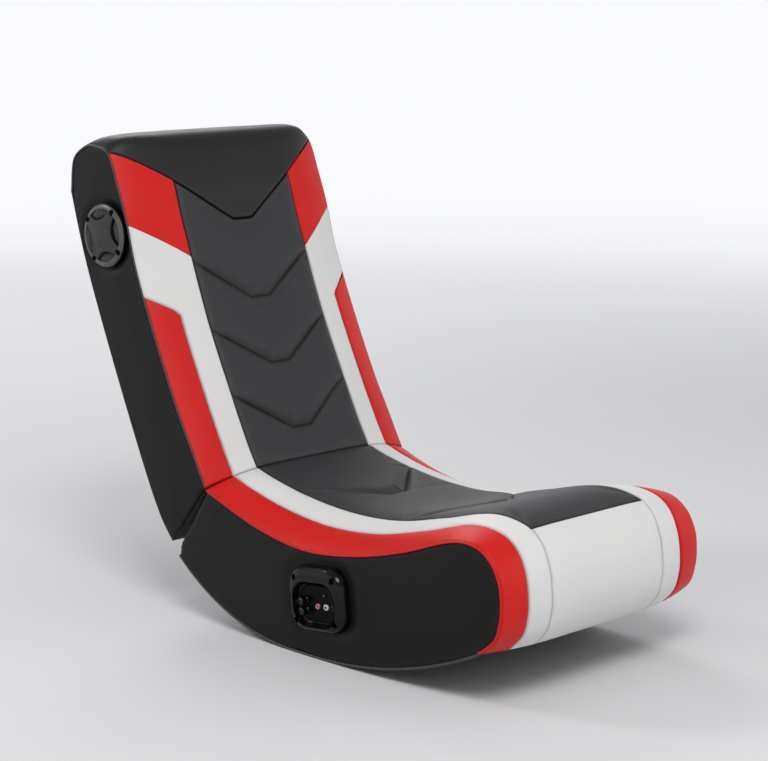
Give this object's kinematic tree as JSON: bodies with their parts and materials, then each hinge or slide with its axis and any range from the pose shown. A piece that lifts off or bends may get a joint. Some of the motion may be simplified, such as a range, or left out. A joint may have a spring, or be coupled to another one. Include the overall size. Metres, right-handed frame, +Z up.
{
  "type": "gaming rocker chair",
  "caption": "Legless padded rocker seat with a fold-down padded back, speakers in the sides of the back and a control panel in one side of the seat.",
  "frame": {"origin": "on the ground, at the middle of the rocker's flat foot, in the chair's middle plane", "axes": "+Z up, the sitter faces -Y, the control panel is on the -X side"},
  "size_m": [0.4632, 0.9586, 0.7476],
  "materials": {
    "black_leatherette": "grained matt leatherette over thin foam",
    "charcoal_leatherette": "grained leatherette over foam, with sewn channels",
    "white_leatherette": "off-white grained leatherette over foam",
    "red_leatherette": "red grained leatherette over foam",
    "plywood": "bare birch plywood and softwood",
    "steel": "zinc plated",
    "black_plastic": "moulded, satin",
    "panel_plate": "moulded, fine texture",
    "red_plastic": "gloss",
    "white_plastic": "gloss",
    "speaker_cone": "pressed paper cone in a moulded basket",
    "circuit_board": "solder mask",
    "lead_rubber": "matt"
  },
  "bodies": {
    "seat": {"amplifier_board": "circuit_board", "base_board": "plywood", "bottom_cover": "black_leatherette", "control_face_plate": "panel_plate", "control_housing": "black_plastic", "front_panel": "white_leatherette", "hinge_pin_left": "steel", "hinge_pin_right": "steel", "hinge_seat_leaf_left": "steel", "hinge_seat_leaf_right": "steel", "panel_screw_1": "steel", "panel_screw_2": "steel", "panel_screw_3": "steel", "panel_screw_4": "steel", "power_jack": "black_plastic", "power_light": "red_plastic", "red_jack": "red_plastic", "seat_centre_pad": "charcoal_leatherette", "seat_deck": "plywood", "seat_front_rail": "plywood", "seat_front_rib": "plywood", "seat_lead": "lead_rubber", "seat_rear_board": "plywood", "seat_rear_rib": "plywood", "seat_red_strip_left": "red_leatherette", "seat_red_strip_right": "red_leatherette", "seat_side_board_left": "plywood", "seat_side_board_right": "plywood", "seat_side_cover_left": "black_leatherette", "seat_side_cover_right": "black_leatherette", "seat_white_strip_left": "white_leatherette", "seat_white_strip_right": "white_leatherette", "white_jack": "white_plastic"},
    "back": {"back_bottom_board": "plywood", "back_centre_pad": "charcoal_leatherette", "back_cross_rail": "plywood", "back_red_lower_left": "red_leatherette", "back_red_lower_right": "red_leatherette", "back_red_upper_left": "red_leatherette", "back_red_upper_right": "red_leatherette", "back_side_board_left": "plywood", "back_side_board_right": "plywood", "back_side_cover_left": "black_leatherette", "back_side_cover_right": "black_leatherette", "back_support": "plywood", "back_top_board": "plywood", "back_white_panel_left": "white_leatherette", "back_white_panel_right": "white_leatherette", "headrest": "black_leatherette", "hinge_back_leaf_left": "steel", "hinge_back_leaf_right": "steel", "rear_cover": "black_leatherette", "speaker_grille_left": "black_plastic", "speaker_grille_right": "black_plastic", "speaker_lead_left": "lead_rubber", "speaker_lead_right": "lead_rubber", "speaker_left": "speaker_cone", "speaker_right": "speaker_cone"},
    "volume_knob": {"volume_knob": "black_plastic"},
    "bass_knob": {"bass_knob": "black_plastic"}
  },
  "joints": [
    {"name": "back_fold", "type": "hinge", "parent": "seat", "child": "back", "pos_m": [0, 0.205, 0.2355], "axis": [1, 0, 0], "range_deg": [0, 105]},
    {"name": "volume_turn", "type": "hinge", "parent": "seat", "child": "volume_knob", "pos_m": [-0.228, -0.01583, 0.08962], "axis": [1, 0, 0], "range_deg": [-140, 140]},
    {"name": "bass_turn", "type": "hinge", "parent": "seat", "child": "bass_knob", "pos_m": [-0.228, -0.01742, 0.0745], "axis": [1, 0, 0], "range_deg": [-140, 140]}
  ]
}
